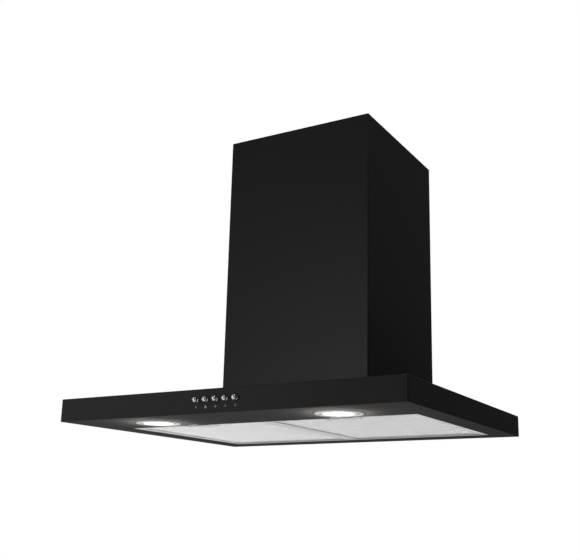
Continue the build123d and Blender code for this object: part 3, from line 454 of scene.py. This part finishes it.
def lamp_lens(side):
    """The diffuser: a shallow dish with a rounded rim, and fine grooves around its middle."""
    node = f"lamp_lens_{side}"
    low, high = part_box(node)
    centre = Vector((mid(node).x, mid(node).y, low.z))
    r = (high.x - low.x) / 2 - LENS_GAP
    profile = [(0.0, 0.0)]
    for k in range(1, LENS_STEPS):
        t = k / LENS_STEPS
        groove = LENS_GROOVE if k % 2 and t >= 0.25 else 0.0
        profile.append((r * 0.93 * t, LENS_DISH * t * t + groove))
    profile += arc(r - LENS_RIM_R, LENS_RIM_RISE, LENS_RIM_R, -80, 0, 6)
    profile += [(r, high.z - low.z), (0, high.z - low.z)]
    verts, faces = lathe(profile, centre, (0, 0, 1), 96)
    obj = new_object(f"moulded_{node}", verts, faces, "lamp_diffuser", "hood")
    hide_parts(node)


# ---- grease filters -----------------------------------------------------------------------
MESH_LAYERS = (  # millimetres: height in the frame, diamond length, pitch of its rows, strand width
    (2.2, 8.0, 2.4, 1.35),
    (4.0, 6.5, 2.1, 1.25),
    (5.8, 8.0, 2.4, 1.35),
    (7.6, 6.5, 2.1, 1.25),
)
STRAND_T, STRAND_TILT = 0.18 * MM, 0.14 * MM
SWAY, SWAY_PER_METRE, SWAY_PER_ROW = 0.12 * MM, 210, 0.7
JITTER, LEAN_CHANGE = 0.1 * MM, 0.25
POCKET_GAP = 1.6 * MM


def strand_section(x, y, z, width, lean):
    """Four corners of a strand's slanted cross-section."""
    corners = []
    for end in (-1, 1):
        edge_y, edge_z = y + end * width / 2, z + end * STRAND_TILT * lean
        corners.append((x, edge_y, edge_z - STRAND_T / 2))
        corners.append((x, edge_y, edge_z + STRAND_T / 2))
    return corners


def strand_faces(a, b):
    """Four faces between two sections, by the numbers of their first corners."""
    faces = [(a, b, b + 2, a + 2), (a + 1, a + 3, b + 3, b + 1)]
    return faces + [(a, a + 1, b + 1, b), (a + 2, b + 2, b + 3, a + 3)]


def latch_pocket(side):
    """The space that the latch takes out of the mesh: its left, its right and its rear."""
    low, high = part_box(f"filter_latch_{side}")
    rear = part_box(f"latch_spring_{side}")[1].y
    return low.x - POCKET_GAP, high.x + POCKET_GAP, rear + POCKET_GAP


def expanded_layer(side, index):
    """One layer of slit and stretched aluminium: zigzag strands that meet at their peaks."""
    node = f"filter_mesh_{side}"
    low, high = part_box(node)
    left, right, rear = latch_pocket(side)
    height, length, pitch, width = (v * MM for v in MESH_LAYERS[index])
    step = length / 2
    columns = int((high.x - low.x) / step)
    rows = int((high.y - low.y) / pitch) - 1
    x0 = (low.x + high.x) / 2 - columns * step / 2
    y0 = (low.y + high.y) / 2 - rows * pitch / 2
    rng = random.Random(7 + index)
    verts, faces = [], []
    for row in range(rows + 1):
        lean = 1 + LEAN_CHANGE * (rng.random() - 0.5)
        previous = None
        for column in range(columns + 1):
            x = x0 + column * step
            y = y0 + row * pitch + (pitch / 4 if (row + column) % 2 else -pitch / 4)
            if left < x < right and y < rear:
                previous = None
                continue
            sway = SWAY * math.sin(x * SWAY_PER_METRE + row * SWAY_PER_ROW) + JITTER * (rng.random() - 0.5)
            start = len(verts)
            verts += strand_section(x, y, height + sway, width, lean)
            if previous is not None:
                faces += strand_faces(previous, start)
            previous = start
    name = f"{node}_layer_{index + 1}"
    return new_object(name, verts, faces, "mesh_aluminium", f"filter_{side}", smooth=False)


def filter_meshes(side):
    """The mesh pack: layers of strands, in place of the CAD's plain sheets."""
    layers = [expanded_layer(side, i) for i in range(len(MESH_LAYERS))]
    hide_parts(f"filter_mesh_{side}")


def detailed_pieces():
    """The pieces that stand in for plainer CAD nodes."""
    for name in BUTTONS:
        chrome_button(name)
    for side in SIDES:
        lamp_lens(side)
        filter_meshes(side)
    return_springs()


# ---- stage --------------------------------------------------------------------------------
def stage():
    """A plain pale floor well below the hood. It throws no light of its own on the hood."""
    half = FLOOR_SIZE / 2
    corners = [(x, y, FLOOR_Z) for x, y in ((-half, -half), (half, -half), (half, half), (-half, half))]
    mesh = bpy.data.meshes.new("floor")
    mesh.from_pydata(corners, [], [(0, 1, 2, 3)])
    m = Shader("pale_floor", (0.86, 0.86, 0.86), 0.7)
    m.paint(m.noise(3, 3), (0.85, 0.85, 0.85), (0.88, 0.88, 0.88))
    mesh.materials.append(m.mat)
    floor = add_object("floor", mesh)
    floor.visible_diffuse = False
    floor.visible_glossy = False
    return floor


def surround():
    """White behind the object for the camera. As light it is dim above the horizon and dark below it."""
    world = bpy.data.worlds.new("surround")
    bpy.context.scene.world = world
    world.use_nodes = True
    tree = world.node_tree
    tree.nodes.clear()
    output = tree.nodes.new("ShaderNodeOutputWorld")
    mix = tree.nodes.new("ShaderNodeMixShader")
    path = tree.nodes.new("ShaderNodeLightPath")
    lit = tree.nodes.new("ShaderNodeBackground")
    seen = tree.nodes.new("ShaderNodeBackground")
    coord = tree.nodes.new("ShaderNodeTexCoord")
    split = tree.nodes.new("ShaderNodeSeparateXYZ")
    level = tree.nodes.new("ShaderNodeMapRange")
    horizon = (("From Min", -0.05), ("From Max", 0.15), ("To Min", GROUND_LIGHT), ("To Max", SKY_LIGHT))
    for key, number in horizon:
        level.inputs[key].default_value = number
    tree.links.new(coord.outputs["Generated"], split.inputs[0])
    tree.links.new(split.outputs["Z"], level.inputs["Value"])
    tree.links.new(level.outputs["Result"], lit.inputs["Strength"])
    seen.inputs["Color"].default_value = (1, 1, 1, 1)
    seen.inputs["Strength"].default_value = 1.0
    tree.links.new(path.outputs["Is Camera Ray"], mix.inputs[0])
    tree.links.new(lit.outputs[0], mix.inputs[1])
    tree.links.new(seen.outputs[0], mix.inputs[2])
    tree.links.new(mix.outputs[0], output.inputs["Surface"])


def add_light(data, place):
    """A light that the camera doesn't see."""
    obj = add_object(data.name, data)
    obj.location = place
    obj.visible_camera = False
    return obj


def reach_only(light, targets):
    """Lets a light fall on the given objects only."""
    group = bpy.data.collections.new(f"{light.name}_targets")
    for obj in targets:
        group.objects.link(obj)
    light.light_linking.receiver_collection = group


def softbox(name, place, target, size, watts):
    """A rectangular light that faces a target."""
    data = bpy.data.lights.new(name, "AREA")
    data.shape = "RECTANGLE"
    data.size, data.size_y = size
    data.energy = watts
    obj = add_light(data, place)
    obj.rotation_euler = (Vector(target) - Vector(place)).to_track_quat("-Z", "Y").to_euler()
    return obj


def pieces(starts, others=False):
    """The hood's pieces whose names start with one of the words, or all its other pieces."""
    shapes = [obj for obj in bpy.data.objects if obj.type == "MESH" and obj.name != "floor"]
    return [obj for obj in shapes if obj.name.startswith(starts) != others]


def lamp_light(side, watts):
    """The light that a lamp throws on what is around it."""
    centre = mid(f"lamp_lens_{side}")
    data = bpy.data.lights.new(f"lamp_light_{side}", "POINT")
    data.energy = watts
    data.shadow_soft_size = 8 * MM
    data.color = LAMP_GLOW
    obj = add_light(data, (centre.x, centre.y, -14 * MM))
    obj.visible_glossy = False
    return obj


def lamp_halo(side, watts, rim_watts):
    """The lamp's glow on the painted sheet next to it: a wide one, and a tight one at the ring."""
    centre = mid(f"lamp_lens_{side}")
    data = bpy.data.lights.new(f"lamp_rim_{side}", "AREA")
    data.shape = "ELLIPSE"
    data.size, data.size_y = 98 * MM, 120 * MM
    data.energy = rim_watts
    data.color = RIM_GLOW
    rim = add_light(data, (centre.x, centre.y, -9 * MM))
    rim.rotation_euler = (math.pi, 0, 0)
    rim.visible_glossy = False
    for halo in (lamp_light(side, watts), rim):
        halo.data.specular_factor = 0.0
        reach_only(halo, [NODES["underside_panel"], NODES["canopy_shell"]])


def lights(floor):
    """Soft light from the front left. The chimney, the filters and the rest each have their own level."""
    surround()
    rest = pieces(COVERS, others=True)
    for name, place, size, watts in FRONT_LIGHTS:
        reach_only(softbox(name, place, AIM, size, watts), rest)
    cover = softbox("cover", (-0.8, -2.6, 0.05), AIM, (1.0, 0.8), 20)
    reach_only(cover, pieces(COVERS))
    mesh_fill = softbox("mesh_fill", (-1.1, -2.9, -0.75), AIM, (2.5, 1.0), 67)
    reach_only(mesh_fill, pieces(("filter_mesh",)))
    at_floor, upwards = (0, -0.3, FLOOR_Z + 0.05), (0, -0.3, 1)
    frame_fill = softbox("frame_fill", at_floor, upwards, (6, 6), 90)
    reach_only(frame_fill, pieces(("filter_frame",)))
    softbox("top", (0.2, 0.3, 2.4), AIM, (1.2, 1.2), 20)
    softbox("back", (-1.4, 2.4, 0.9), AIM, (1.6, 1.6), 20)
    floor_wash = softbox("floor_wash", (0, 0, 4), (0, 0, FLOOR_Z), (8, 8), 1100)
    reach_only(floor_wash, [floor])
    softbox("below", at_floor, upwards, (6, 6), 62)
    for side in SIDES:
        lamp_light(side, watts=0.045)
        lamp_halo(side, watts=1.8, rim_watts=0.5)


def camera():
    """Low and to the right of the hood, looking up and to the left."""
    level = Vector((math.cos(AZIMUTH), math.sin(AZIMUTH), 0))
    ahead = Vector((-math.sin(AZIMUTH), math.cos(AZIMUTH), 0))
    forward = ahead * math.cos(PITCH) + Vector((0, 0, math.sin(PITCH)))
    rise = level.cross(forward)
    right = level * math.cos(ROLL) + rise * math.sin(ROLL)
    up = rise * math.cos(ROLL) - level * math.sin(ROLL)
    data = bpy.data.cameras.new("camera")
    data.lens, data.shift_x, data.shift_y = LENS, SHIFT_X, SHIFT_Y
    data.clip_start, data.clip_end = 0.01, 100
    obj = add_object("camera", data)
    turn = Matrix((right, up, -forward)).transposed().to_4x4()
    obj.matrix_world = Matrix.Translation(EYE) @ turn
    bpy.context.scene.camera = obj


camera()
dress_nodes()
detailed_pieces()
lights(stage())
bpy.context.scene.view_settings.view_transform = "Standard"
